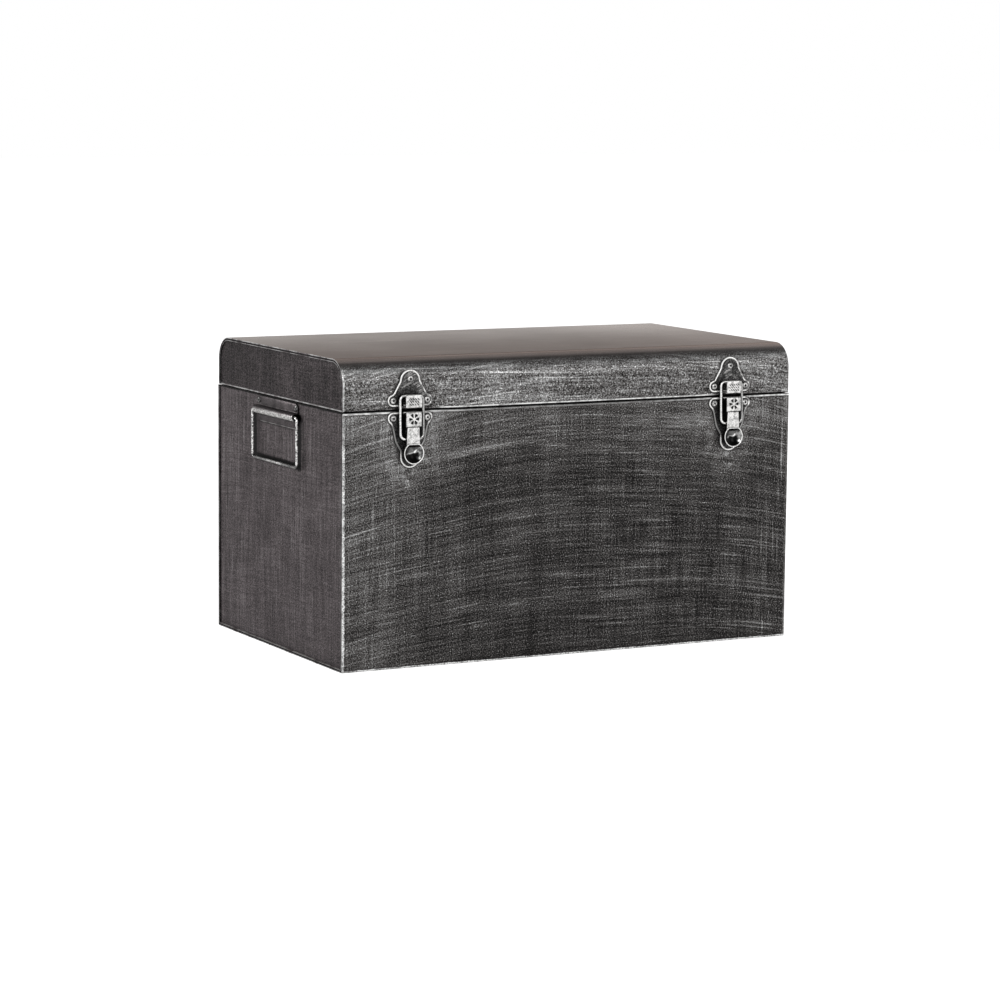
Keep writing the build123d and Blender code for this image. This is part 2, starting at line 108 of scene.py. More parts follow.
# The handles: the axis and the run of the wire, and their plates
CAD_WIRE_RADIUS = 1.75 * MM
GRIP_RADIUS = 1.4 * MM
AXIS_OUT = middle("handle_right_bail", X)
AXIS_Z = high("handle_left_bail", Z, CAD_WIRE_RADIUS)
GRIP_LOW = low("handle_left_bail", Z, CAD_WIRE_RADIUS)
GRIP_HALF = high("handle_left_bail", Y, CAD_WIRE_RADIUS)
STRAP_OUT = low("handle_right_plate", X)
STRAP_LOW = low("handle_left_plate", Z)
STRAP_TOP = high("handle_left_plate", Z)
STRAP_HALF = high("handle_left_plate", Y, 2.2 * MM)

WHITE = (1.0, 1.0, 1.0, 1.0)


# Node trees


class Tree:
    """A tree of nodes, built from plain calls that return sockets."""

    def __init__(self, owner):
        owner.use_nodes = True
        self.tree = owner.node_tree
        self.tree.nodes.clear()

    def node(self, kind, settings=None, *values, **inputs):
        """A node with its settings; values go to its sockets in order, inputs by their names."""
        made = self.tree.nodes.new(kind)
        for key, value in (settings or {}).items():
            setattr(made, key, value)
        for socket, value in zip(made.inputs, values):
            self.put(socket, value)
        for key, value in inputs.items():
            self.put(made.inputs[key.replace("_", " ")], value)
        return made

    def put(self, socket, value):
        if isinstance(value, bpy.types.NodeSocket):
            self.tree.links.new(value, socket)
        else:
            socket.default_value = value

    def math(self, operation, *values):
        return self.node("ShaderNodeMath", {"operation": operation}, *values).outputs[0]

    def chain(self, operation, values):
        total = values[0]
        for value in values[1:]:
            total = self.math(operation, total, value)
        return total

    def add(self, *values):
        return self.chain("ADD", values)

    def mul(self, *values):
        return self.chain("MULTIPLY", values)

    def most(self, *values):
        return self.chain("MAXIMUM", values)

    def sub(self, a, b):
        return self.math("SUBTRACT", a, b)

    def size(self, value):
        return self.math("ABSOLUTE", value)

    def length(self, a, b):
        """How far (a, b) is from (0, 0)."""
        return self.math("SQRT", self.add(self.mul(a, a), self.mul(b, b)))

    def swing(self, noise, amount):
        """Noise about 0.5 turned into noise about nothing."""
        return self.mul(self.sub(noise, 0.5), amount)

    def fade(self, factor, a, b):
        """From a to b as the factor goes from 0 to 1."""
        made = self.node("ShaderNodeMix", {"data_type": "FLOAT"})
        for index, value in ((0, factor), (2, a), (3, b)):
            self.put(made.inputs[index], value)
        return made.outputs[0]

    def mix(self, factor, a, b):
        """The same for colours."""
        made = self.node("ShaderNodeMix", {"data_type": "RGBA"})
        self.put(made.inputs["Factor"], factor)
        for index, value in ((6, a), (7, b)):
            self.put(made.inputs[index], (*value, 1.0) if isinstance(value, tuple) else value)
        return made.outputs[2]

    def spread(self, value, start, end, at_start=0.0, at_end=1.0):
        """Goes smoothly from at_start to at_end as the value goes from start to end."""
        smooth = {"interpolation_type": "SMOOTHSTEP"}
        return self.node("ShaderNodeMapRange", smooth, value, start, end, at_start, at_end).outputs[0]

    def between(self, value, start, full, until, end):
        """1 from full to until, fading to 0 at start and at end."""
        return self.mul(self.spread(value, start, full), self.spread(value, end, until))

    def near(self, value, place, outer, inner):
        """1 where the value is within inner of a place, 0 beyond outer."""
        return self.spread(self.size(self.sub(value, place)), outer, inner)


class Finish(Tree):
    """A material's nodes, with the places and facing directions of the resting part."""

    def __init__(self, name):
        self.material = bpy.data.materials.new(name)
        super().__init__(self.material)
        place = self.node("ShaderNodeTexCoord").outputs
        self.coord = place["Object"]
        self.x, self.y, self.z = self.node("ShaderNodeSeparateXYZ", Vector=self.coord).outputs
        self.nx, self.ny, self.nz = self.node("ShaderNodeSeparateXYZ", Vector=place["Normal"]).outputs

    def noise(self, scale, detail=2.0, roughness=0.5, vector=None):
        made = self.node("ShaderNodeTexNoise", Vector=vector or self.coord, Scale=scale, Detail=detail,
                         Roughness=roughness)
        return made.outputs["Fac"]

    def stretched(self, x, y, z):
        """Noise on places that are already scaled, which makes strokes and streaks."""
        return self.noise(1.0, 3.0, 0.6, self.node("ShaderNodeCombineXYZ", X=x, Y=y, Z=z).outputs[0])

    def strokes(self, height, around, upward):
        """Strokes on a face: noise with one scale around the box and another up it."""
        return self.stretched(self.mul(self.x, around), self.mul(self.y, around), self.mul(height, upward))

    def slanting(self, across, along, upward, slant=0.45, deep=300.0):
        """Short slanting scratches."""
        run = self.add(across, self.mul(self.z, slant))
        rise = self.sub(self.z, self.mul(across, slant))
        return self.stretched(self.mul(run, along), self.mul(self.y, deep), self.mul(rise, upward))

    def crevice(self, reach, closed=0.30, free=0.90, darkest=0.25):
        """1 in the open, down to darkest where other surfaces are within reach: soiling that gathers there,
        and painted shade.
        """
        made = self.node("ShaderNodeAmbientOcclusion", {"samples": 6}, Distance=reach)
        return self.spread(made.outputs["AO"], closed, free, darkest, 1.0)

    def edge(self, reach):
        """1 along the edges of the shape, 0 away from them."""
        rounded = self.node("ShaderNodeBevel", {"samples": 6}, Radius=reach).outputs["Normal"]
        plain = self.node("ShaderNodeNewGeometry").outputs["Normal"]
        alike = self.node("ShaderNodeVectorMath", {"operation": "DOT_PRODUCT"}, rounded, plain)
        return self.spread(alike.outputs["Value"], 0.985, 0.86)

    def metal(self, tone, tint, roughness, height, bumps, metallic, distance=0.2 * MM, grazing=WHITE):
        """Steel of a tone, its brightness to the eye; grazing tints what it reflects at a flat angle."""
        light = self.math("POWER", tone, 2.2)
        colour = self.node("ShaderNodeVectorMath", {"operation": "SCALE"}, tint, Scale=light).outputs[0]
        bump = self.node("ShaderNodeBump", Height=height, Strength=bumps, Distance=distance).outputs[0]
        steel = self.node("ShaderNodeBsdfPrincipled", Base_Color=colour, Roughness=roughness, Normal=bump,
                          Metallic=metallic, Specular_Tint=grazing)
        self.node("ShaderNodeOutputMaterial", None, steel.outputs[0])
        return self.material


# Materials

# Brightness, as the eye sees it from 0 (black) to 1
FRONT_TONE = 0.217
LID_TONE = 0.176
SIDE_TONE = 0.262
TOP_TONE = 0.300
INSIDE_TONE = 0.300
WORN_TONE = 0.97
DARKEST_TONE = 0.04

# Tints of the steel, and of what it reflects at a flat angle
FITTING_TINT = (1.01, 1.00, 0.985)
BOWL_TINT = (1.00, 1.00, 0.985)
PLATE_TINT = (1.02, 1.00, 0.985)
STRAP_TINT = (1.02, 1.00, 0.98)
FACE_TINT = (1.06, 1.00, 0.975)
SIDE_TINT = (1.17, 1.00, 1.04)
RUBBED_TINT = (1.00, 1.00, 0.995)
ROUNDING_TINT = (1.16, 1.00, 0.94)
NEAR_GRAZING = (0.58, 0.465, 0.41)
FAR_GRAZING = (1.0, 0.915, 0.86)
UPRIGHT_GRAZING = (0.46, 0.45, 0.45)
SHADED_GRAZING = (0.15, 0.15, 0.15)
STRAP_GRAZING = (0.5, 0.5, 0.5, 1.0)


def latch_across(t):
    """How far a place is to the right of its latch's middle."""
    return t.mul(t.sub(t.size(t.x), LATCH_X), t.math("SIGN", t.x))


def latch_shade(t):
    """1 in the open; dark beside the latch's strips and inside the wire, as painted shadow."""
    across = latch_across(t)
    along = t.between(t.z, BAIL_LOW + 0.0027, BAIL_LOW + 0.0042, BAIL_TOP - 0.0015, BAIL_TOP)
    left = t.between(across, -0.0130, -0.0118, -0.0078, -0.0070)
    right = t.mul(t.between(across, 0.0070, 0.0078, 0.0120, 0.0135), 0.6)
    front = t.spread(t.y, 0.003 - HALF_Y, 0.001 - HALF_Y)
    return t.fade(t.mul(t.most(left, right), along, front), 1.0, 0.14)


class SheetFinish(Finish):
    """The sheets' nodes, with what the parts of their finish share."""

    def __init__(self, name):
        super().__init__(name)
        self.find_faces()
        self.find_edges()
        self.make_noises()

    def find_faces(self):
        """Which way a place looks, from 0 to 1 each, and skin: 1 on the outside of the box."""
        self.front = self.spread(self.size(self.ny), 0.56, 0.84)
        self.side = self.spread(self.size(self.nx), 0.6, 0.9)
        self.up = self.spread(self.nz, 0.55, 0.95)
        outward = self.add(self.mul(self.nx, self.x), self.mul(self.ny, self.y),
                           self.mul(self.nz, self.sub(self.z, HALF_HEIGHT)))
        self.skin = self.spread(outward, 0.010, 0.040)

    def find_edges(self):
        """Heights over the seam, once lowered in the front's middle, and how far in from an end's outline."""
        self.above = self.sub(self.z, SEAM)
        self.lid = self.spread(self.above, 0.0, 0.0006)
        self.lowered = self.add(self.above, self.mul(self.between(self.x, -0.17, -0.12, 0.12, 0.21), 0.0006))
        beyond_y = self.most(self.sub(self.size(self.y), LID_DEPTH - LID_ROUNDING), 0.0)
        beyond_z = self.most(self.sub(self.z, LID_TOP - LID_ROUNDING), 0.0)
        on_base = self.math("MINIMUM", self.sub(HALF_Y, self.size(self.y)), self.z)
        on_lid = self.sub(LID_ROUNDING, self.length(beyond_y, beyond_z))
        self.inset = self.fade(self.lid, on_base, on_lid)

    def make_noises(self):
        """Grain, clouds, upright columns, and arcs as an arm's sweep leaves them."""
        bend = self.mul(self.math("POWER", self.sub(self.x, 0.04), 2.0), 0.45)
        self.arc = self.add(self.z, bend, self.swing(self.noise(2.6, 1.0), 0.05))
        self.thin = self.strokes(self.arc, 22.0, 640.0)
        self.columns = self.strokes(self.z, 560.0, 20.0)
        self.wide_columns = self.strokes(self.z, 55.0, 5.0)
        self.patch = self.noise(7.0, 3.0, 0.6)
        self.cloud = self.noise(26.0, 4.0, 0.6)
        self.grain = self.noise(820.0, 2.0, 0.55)
        self.wobble = self.swing(self.noise(150.0, 4.0, 0.7), 0.0046)


def base_glow(t, left_glow):
    """Where the base's front is rubbed more: by the seam, towards the left edge and round the latches."""
    seam_glow = t.mul(t.spread(t.z, BASE_TOP - 0.065, BASE_TOP), 0.090)
    reach = t.sub(t.size(t.x), LATCH_X)
    from_latch = t.length(reach, t.mul(t.sub(t.z, PIN_Z - 0.018), 0.7))
    scuffed = t.spread(t.noise(85.0, 3.0, 0.6), 0.42, 0.62)
    latch_glow = t.mul(t.spread(from_latch, 0.060, 0.020), t.add(t.mul(scuffed, 0.12), 0.035))
    from_scuff = t.length(t.mul(reach, 1.3), t.sub(t.z, LATCH_LOW - 0.0089))
    scuff = t.mul(t.spread(from_scuff, 0.012, 0.003), scuffed, 0.30)
    return t.add(seam_glow, left_glow, latch_glow, scuff)


def lid_glow(t):
    """The lid's front: bright streaks, a dark stretch at the left and a ridge where the rounding starts."""
    streaks = t.strokes(t.add(t.z, t.mul(t.x, 0.03)), 10.0, 700.0)
    dull = t.mul(t.spread(t.above, 0.009, 0.003), t.spread(t.x, -0.12, -0.20), -0.12)
    ridge = t.near(t.z, LID_TOP - 0.0114, 0.0028, 0.0008)
    ridge = t.mul(ridge, t.spread(t.cloud, 0.36, 0.60, 0.25, 1.0), 0.17)
    return t.add(LID_TONE, t.swing(streaks, 0.50), t.spread(streaks, 0.57, 0.74, 0.0, 0.26),
                 t.swing(t.patch, 0.24), dull, ridge)


def upright_marks(t):
    """Bright upright strokes near the front's right edge, and fewer near its left one."""
    marks = t.strokes(t.z, 330.0, 9.0)
    marked = t.most(t.spread(t.x, 0.186, 0.222), t.mul(t.spread(t.x, -0.165, -0.205), 0.5))
    return t.mul(t.spread(marks, 0.55, 0.76, 0.0, 0.36), marked, t.fade(t.lid, 1.0, 0.3))


def front_tone(t):
    """The front: grain, arcs across it, upright strokes, and rubbed places."""
    left_glow = t.mul(t.spread(t.x, -0.110, -0.240), 0.095)
    extra = t.fade(t.lid, base_glow(t, left_glow), t.add(lid_glow(t), t.mul(left_glow, 0.4)))
    uprights = t.mul(t.swing(t.columns, 0.50), t.spread(t.patch, 0.3, 0.7), t.fade(t.lid, 1.0, 0.25))
    fine = t.add(t.swing(t.grain, 1.35), t.spread(t.grain, 0.62, 0.80, 0.0, 0.34), t.swing(t.thin, 0.36),
                 t.spread(t.thin, 0.60, 0.78, 0.0, 0.20), uprights)
    bands = t.strokes(t.arc, 5.0, 75.0)
    sweeps = t.strokes(t.arc, 7.0, 330.0)
    bright_sweeps = t.mul(t.spread(sweeps, 0.58, 0.72), t.spread(t.patch, 0.42, 0.62), 0.20)
    arcs = t.add(t.swing(bands, 0.19), t.spread(bands, 0.58, 0.74, 0.0, 0.12), t.swing(t.wide_columns, 0.19),
                 t.swing(sweeps, 0.28), bright_sweeps, t.spread(t.z, 0.090, 0.020, 0.0, -0.022))
    return t.add(FRONT_TONE, extra, fine, arcs, upright_marks(t), t.swing(t.cloud, 0.10))


def side_tone(t, quiet):
    """The ends: quieter, with a fine hatching in patches."""
    hatch = t.add(t.swing(t.columns, 0.30), t.swing(t.thin, 0.22), t.spread(t.columns, 0.60, 0.78, 0.0, 0.10))
    hatch = t.mul(hatch, t.spread(t.patch, 0.36, 0.60, 0.3, 1.0), t.side)
    return t.add(SIDE_TONE, t.mul(t.lid, -0.088), quiet, hatch)


def top_tone(t):
    """The lid's top: smooth, with a few long scratches, brighter to the right, and brighter to the back as a
    painted sheen.
    """
    scratch = t.stretched(t.mul(t.x, 5.0), t.mul(t.y, 900.0), t.z)
    return t.add(TOP_TONE, t.spread(t.x, 0.02, 0.24, 0.0, 0.10), t.spread(t.y, -0.06, 0.14, 0.0, 0.09),
                 t.mul(t.spread(scratch, 0.57, 0.78), 0.26), t.swing(t.cloud, 0.08), t.swing(t.grain, 0.06))


def face_tone(t):
    """The tone of each face, blended where one face turns into the next."""
    quiet = t.add(t.swing(t.grain, 0.80), t.swing(t.columns, 0.12), t.swing(t.cloud, 0.12),
                  t.swing(t.patch, 0.16), t.swing(t.wide_columns, 0.05))
    inside = t.add(INSIDE_TONE, t.mul(quiet, 0.6))
    # A painted sheen where the front of the lid's top starts to round over.
    roll = t.mul(t.between(t.nz, 0.77, 0.94, 0.981, 0.9985), t.spread(t.y, 0.0, -0.1), 0.30)
    tone = t.add(t.fade(t.up, inside, top_tone(t)), roll)
    tone = t.fade(t.side, tone, side_tone(t, quiet))
    tone = t.fade(t.mul(t.front, t.skin), tone, front_tone(t))
    return t.fade(t.skin, inside, tone)


def seam_rims(t, along):
    """The bright rims at the seam: mostly the lid's in the middle of the front, the base's at its sides."""
    on_lid = t.mul(t.near(t.lowered, 0.0018, 0.0010, 0.0004), t.spread(t.x, -0.165, -0.140),
                   t.spread(t.x, 0.19, 0.15, 0.40, 1.0))
    on_base = t.mul(t.near(t.add(t.lowered, t.mul(t.wobble, 0.15)), -0.0018, 0.0012, 0.0005), along)
    on_end = t.mul(t.near(t.above, 0.0011, 0.0010, 0.0004), t.side, 0.70)
    return t.most(t.mul(t.most(on_base, on_lid), t.front), on_end)


def worn_lines(t, dirt_and_shade, along):
    """The edges that are rubbed bright: uprights, foot, seam, the ends' folded hems and all sharp edges."""
    speck = t.spread(t.noise(640.0, 2.0, 0.6), 0.38, 0.54, 0.60, 1.0)
    ragged = t.swing(t.noise(380.0, 3.0, 0.7), 0.0040)
    from_end = t.add(t.sub(HALF_X, t.size(t.x)), t.mul(t.wobble, 0.5), ragged)
    upright = t.mul(t.spread(from_end, 0.0032, 0.0020), t.front, speck, t.spread(t.x, 0.0, 0.2, 1.0, 0.45))
    foot = t.mul(t.spread(t.add(t.z, t.mul(t.wobble, 0.4)), 0.0026, 0.0014), t.front, speck)
    hem = t.most(t.spread(t.add(t.inset, t.mul(t.wobble, 0.2)), 0.0012, 0.0005),
                 t.mul(t.near(t.inset, HEM_WIDTH, 0.0008, 0.0002), 0.85))
    broken = t.spread(t.noise(90.0, 4.0, 0.7), 0.34, 0.58)
    strong = t.mul(t.most(upright, foot, t.mul(seam_rims(t, along), dirt_and_shade)), t.add(t.mul(broken, 0.35), 0.65))
    faint = t.mul(t.most(t.mul(hem, t.side, 0.75), t.mul(t.edge(0.0009), dirt_and_shade, 0.7)),
                  t.add(t.mul(broken, 0.6), 0.4))
    return t.most(strong, faint)


def dark_lines(t, along):
    """Painted shade: dark lines along the seam and under its rim, the shade inside the hems, and the handle
    wire's painted shadow on the ends.
    """
    under_hem = t.mul(t.near(t.inset, HEM_WIDTH - 0.0012, 0.0008, 0.0003), t.side, 0.55)
    # Painted shade along the seam on the front and ends, and a fainter dark line under the front's rim.
    seam_shade = t.most(t.mul(t.between(t.lowered, -0.0010, -0.0005, 0.0008, 0.0013), t.front),
                 t.mul(t.near(t.lowered, -0.0034, 0.0010, 0.0004), t.front, along, 0.30),
                 t.mul(t.between(t.above, -0.0022, -0.0013, 0.0001, 0.0004), t.side, 0.75))
    # A painted shadow of the handle's wire on the ends, beside where it rests.
    wire_middle = tenth((AXIS_Z + GRIP_LOW) / 2)
    wire_half = (AXIS_Z - GRIP_LOW) / 2 - 0.00045
    leg = t.sub(t.size(t.sub(t.y, 0.004)), GRIP_HALF)
    bar = t.sub(t.size(t.sub(t.z, wire_middle)), wire_half)
    painted_wire_shadow = t.mul(t.near(t.most(leg, bar), 0.0, 0.0050, 0.0010), t.spread(bar, 0.006, 0.003), 0.88)
    return t.most(seam_shade, under_hem, t.mul(painted_wire_shadow, t.side, t.skin))


def sheet_tint(t, tone):
    """Neutral where rubbed, a little warm on the front, reddish on the ends and where the lid rounds over."""
    tint = t.mix(t.side, FACE_TINT, SIDE_TINT)
    tint = t.mix(t.spread(tone, 0.32, 0.55), tint, RUBBED_TINT)
    return t.mix(t.spread(t.nz, 0.72, 0.90), tint, ROUNDING_TINT)


def sheet_grazing(t, shade):
    """What the sheet reflects at a flat angle: more at the back of the top, little where it is shaded."""
    flat = t.mix(t.spread(t.y, -0.14, 0.15), NEAR_GRAZING, FAR_GRAZING)
    flat = t.mix(t.spread(t.nz, 0.80, 0.985), UPRIGHT_GRAZING, flat)
    return t.mix(shade, flat, SHADED_GRAZING)


def sheet_material():
    """Dark patinated steel sheet, rubbed bright on the grain's high points and along its edges."""
    t = SheetFinish("rubbed_steel_sheet")
    # Soiling and painted shade where other surfaces are near.
    dirt_and_shade = t.mul(t.crevice(0.004, 0.58, 0.985, 0.14), t.crevice(0.02, 0.2, 0.95, 0.7))
    along = t.spread(t.size(t.x), 0.07, 0.21, 0.55, 1.0)
    shade = dark_lines(t, along)
    tone = t.most(t.mul(face_tone(t), dirt_and_shade), t.mul(worn_lines(t, dirt_and_shade, along), WORN_TONE, t.skin))
    # Painted shade: the seam, hem and handle lines above, and the painted shadow beside the latches.
    tone = t.most(t.mul(tone, t.fade(shade, 1.0, 0.12), latch_shade(t)), DARKEST_TONE)
    rough = t.add(t.spread(tone, 0.2, 0.6, 0.44, 0.34), t.swing(t.patch, 0.08), t.mul(t.up, -0.09))
    height = t.add(t.mul(t.grain, 0.7), t.mul(t.thin, 0.5))
    return t.metal(tone, sheet_tint(t, tone), rough, height, 0.18, 0.75, 0.3 * MM, sheet_grazing(t, shade))


def fitting_material(name, dull, bright, start, end, rough, reach, scratches=0.0, edges=0.0, darkest=0.25):
    """Worn steel of the small fittings: speckled, darkened in the crevices by soiling and painted shade;
    tones as for the sheets.
    """
    t = Finish(name)
    grain = t.noise(1100.0, 3.0, 0.7)
    patch = t.noise(240.0, 3.0, 0.6)
    tone = t.spread(t.add(t.mul(grain, 0.6), t.mul(patch, 0.5)), start, end, dull, bright)
    if scratches:
        tone = t.add(tone, t.spread(t.slanting(t.x, 110.0, 800.0), 0.54, 0.72, 0.0, scratches))
    if edges:
        tone = t.most(tone, t.mul(t.edge(0.0005), t.spread(patch, 0.35, 0.55, 0.5, 1.0), edges))
    tone = t.mul(tone, t.crevice(reach, darkest=darkest))
    return t.metal(tone, FITTING_TINT, rough, t.add(grain, patch), 0.35, 0.85)


def strip_material(name, stamp):
    """The latch's bright strips, with a stamped pattern that is dark in its grooves; on the lever, also a
    painted shadow under the head's step.
    """
    t = Finish(name)
    grain = t.noise(1100.0, 3.0, 0.7)
    patch = t.noise(240.0, 3.0, 0.6)
    grooves_and_shadow = t.mul(stamp(t), t.spread(t.ny, -0.7, -0.95))
    tone = t.spread(t.add(t.mul(grain, 0.5), t.mul(patch, 0.6)), 0.42, 0.62, 0.58, 0.96)
    tone = t.most(tone, t.mul(t.edge(0.0006), 0.97))
    tone = t.mul(tone, t.fade(grooves_and_shadow, 1.0, 0.15), t.crevice(0.0015, 0.25, 0.85, 0.20))
    height = t.sub(t.mul(t.add(grain, patch), 0.3), grooves_and_shadow)
    return t.metal(tone, FITTING_TINT, 0.33, height, 0.5, 0.85, 0.3 * MM)


def hatching(t, pitch=2.6 * MM, fade=0.6 * MM):
    """Rows of short slanted strokes on the keeper's hook, a generic grip pattern."""
    first, last = HOOK_LOW + 0.0013, HOOK_TOP - 0.00185
    row = t.math("FRACT", t.mul(t.sub(t.z, first + fade / 2), 1 / pitch))
    slant = t.math("FRACT", t.mul(t.add(t.x, t.mul(t.z, 0.9)), 1 / pitch))
    across = t.near(latch_across(t), 0.0, 0.0060, 0.0054)
    upward = t.between(t.z, first, first + fade, last - fade, last)
    return t.mul(t.near(row, 0.5, 0.42, 0.30), t.near(slant, 0.5, 0.30, 0.12), across, upward)


def rosette(t):
    """A plain six-petalled rosette stamped on the lever's head, and the shadow under the head's step."""
    across = latch_across(t)
    height = t.sub(t.z, PIN_Z - 0.0035)
    away = t.length(across, height)
    petal = t.size(t.math("COSINE", t.mul(t.math("ARCTAN2", height, across), 3.0)))
    petals = t.mul(t.spread(petal, 0.45, 0.75), t.between(away, 0.0014, 0.0020, 0.0048, 0.0058))
    stamp = t.mul(petals, t.spread(t.z, HEAD_FOOT + 0.00065, HEAD_FOOT + 0.00105))
    return t.most(stamp, t.near(t.z, HEAD_FOOT - 0.00065, 0.0008, 0.0003))


def bowl_material():
    """The dish of the thumb piece: smooth, with painted shadow under the lever's end, a painted dark
    reflection low in the dish, and a painted highlight, bright band and lighter patches.
    """
    t = Finish("thumb_bowl")
    patch = t.noise(260.0)
    grain = t.noise(1100.0, 2.0, 0.6)
    across = latch_across(t)
    slope = t.add(t.sub(t.z, BOWL_Z - 0.0006), t.mul(across, -0.20), t.swing(patch, 0.003))
    # Painted reflections of the hollow dish: dark on its low side, a bright band, and lighter patches to the
    # right.
    painted_dark_low = t.mul(t.spread(slope, 0.0004, -0.0004), t.spread(across, 0.0072, 0.0050))
    painted_light_band = t.mul(t.near(slope, 0.0010, 0.0009, 0.0002), t.spread(across, 0.0055, 0.0035), 0.28)
    painted_light_patches = t.mul(t.spread(across, 0.0045, 0.0052), t.spread(patch, 0.35, 0.6), 0.25)
    # A painted highlight, stretched on a slant.
    aside = t.sub(across, 0.0030)
    above = t.sub(t.z, BOWL_Z + 0.0012)
    slant = 0.6
    over = t.mul(t.sub(aside, t.mul(above, slant)), 1.2)
    up = t.mul(t.add(above, t.mul(aside, slant)), 0.6)
    painted_highlight = t.spread(t.add(t.length(over, up), t.swing(patch, 0.004)), 0.0020, 0.0009, 0.0, 0.56)
    tone = t.add(0.36, t.swing(patch, 0.5), t.swing(grain, 0.5), painted_highlight, painted_light_band, painted_light_patches)
    # Painted shadow under the lever's end.
    painted_lever_shadow = t.spread(t.z, BOWL_Z + 0.0048, BOWL_Z + 0.0066, 1.0, 0.12)
    tone = t.mul(tone, t.fade(painted_dark_low, 1.0, 0.22), painted_lever_shadow, t.crevice(0.003, 0.25, 0.85, 0.35))
    return t.metal(tone, BOWL_TINT, 0.20, patch, 0.15, 0.9)


def plate_material():
    """The latch's plates: dark, speckled, with slanting bright strokes in patches."""
    t = Finish("worn_plate_face")
    grain = t.noise(820.0, 2.0, 0.55)
    patch = t.noise(75.0, 3.0, 0.6)
    across = latch_across(t)
    scratch = t.slanting(across, 90.0, 760.0)
    worn = t.add(t.mul(across, 14.0), t.mul(t.sub(t.z, BAIL_TOP - 0.0005), 12.0), t.swing(patch, 3.2))
    worn = t.spread(worn, -0.05, 0.35)
    tone = t.add(0.215, t.swing(grain, 0.9), t.swing(scratch, 0.3), t.mul(worn, 0.12),
                 t.mul(worn, t.spread(scratch, 0.50, 0.66, 0.0, 0.34)))
    tone = t.mul(tone, t.crevice(0.006, 0.40, 0.95, 0.10), latch_shade(t))
    return t.metal(t.most(tone, 0.03), PLATE_TINT, 0.40, grain, 0.3, 0.75)


def rim_material():
    """The plates' raised rims: bright, duller along the lower plate's flanks, and darker on the right as
    painted shade.
    """
    t = Finish("worn_plate_rim")
    speck = t.noise(820.0, 2.0, 0.6)
    patch = t.noise(200.0, 3.0, 0.6)
    tone = t.spread(t.add(t.mul(speck, 0.6), t.mul(patch, 0.5)), 0.34, 0.56, 0.70, 1.0)
    on_plate = t.spread(t.y, PLATE_FACE - 0.0033, PLATE_FACE - 0.0018)
    flank = t.between(t.z, BOWL_Z - 0.0023, BOWL_Z + 0.0022, PIN_Z - 0.0110, PIN_Z - 0.0070)
    flank = t.mul(flank, on_plate, 0.42)
    # Painted shade on the right side of each rim.
    painted_right_shade = t.mul(t.spread(latch_across(t), 0.006, 0.014), t.spread(patch, 0.62, 0.40), on_plate, 0.42)
    tone = t.mul(tone, t.sub(1.0, t.most(flank, painted_right_shade)), t.crevice(0.0010), latch_shade(t))
    return t.metal(t.most(tone, 0.03), FITTING_TINT, 0.38, speck, 0.35, 0.85)


def bail_material():
    """The latch's wire: bright on its left leg, duller on the right one under a painted shadow of the strips.
    """
    t = Finish("worn_wire")
    speck = t.noise(820.0, 2.0, 0.6)
    tone = t.spread(speck, 0.32, 0.54, 0.76, 1.0)
    # The right leg darker as painted shadow.
    tone = t.mul(tone, t.spread(latch_across(t), 0.004, 0.010, 1.0, 0.72), t.crevice(0.0015))
    return t.metal(tone, FITTING_TINT, 0.28, speck, 0.3, 0.9)


def grip_material():
    """The handle's wire: legs rubbed bright in beads, the lower bar duller but for its middle."""
    t = Finish("worn_handle_wire")
    speck = t.noise(640.0, 2.0, 0.6)
    patch = t.noise(110.0, 2.0, 0.6)
    tone = t.spread(t.add(t.mul(speck, 0.8), t.mul(patch, 0.25)), 0.38, 0.62, 0.34, 1.0)
    bar = t.spread(t.z, GRIP_LOW + 0.0035, GRIP_LOW + 0.0015)
    centre = t.spread(t.size(t.y), 0.030, 0.008)
    tone = t.mul(tone, t.fade(bar, 1.0, t.add(0.42, t.mul(centre, 0.3))), t.crevice(0.0060))
    return t.metal(tone, PLATE_TINT, 0.32, speck, 0.4, 0.85)


def handle_material():
    """The handle's plate: dark like the box's ends, with its channel and lower edge rubbed bright."""
    t = Finish("handle_plate")
    grain = t.noise(820.0, 2.0, 0.55)
    patch = t.noise(90.0, 3.0, 0.6)
    fine = t.noise(420.0, 3.0, 0.7)
    channel = t.spread(t.size(t.x), STRAP_OUT + 0.0040, STRAP_OUT + 0.0066)
    rubbed = t.spread(t.add(t.mul(fine, 0.5), t.mul(grain, 0.5)), 0.36, 0.66, 0.34, 0.78)
    rubbed = t.mul(rubbed, t.spread(t.z, AXIS_Z + 0.0030, AXIS_Z - 0.0010, 0.42, 1.25))
    tone = t.fade(channel, t.add(SIDE_TONE - 0.02, t.swing(grain, 0.5), t.swing(patch, 0.3)), rubbed)
    foot = t.mul(t.spread(t.z, STRAP_LOW + 0.0010, STRAP_LOW + 0.0005), t.spread(patch, 0.3, 0.6, 0.35, 0.62))
    tone = t.most(tone, foot, t.mul(t.edge(0.0006), 0.45))
    tone = t.mul(tone, t.crevice(0.004, 0.25, 0.85, 0.20))
    tint = t.mix(t.spread(tone, 0.30, 0.45), SIDE_TINT, STRAP_TINT)
    return t.metal(tone, tint, 0.42, grain, 0.3, 0.75, grazing=STRAP_GRAZING)


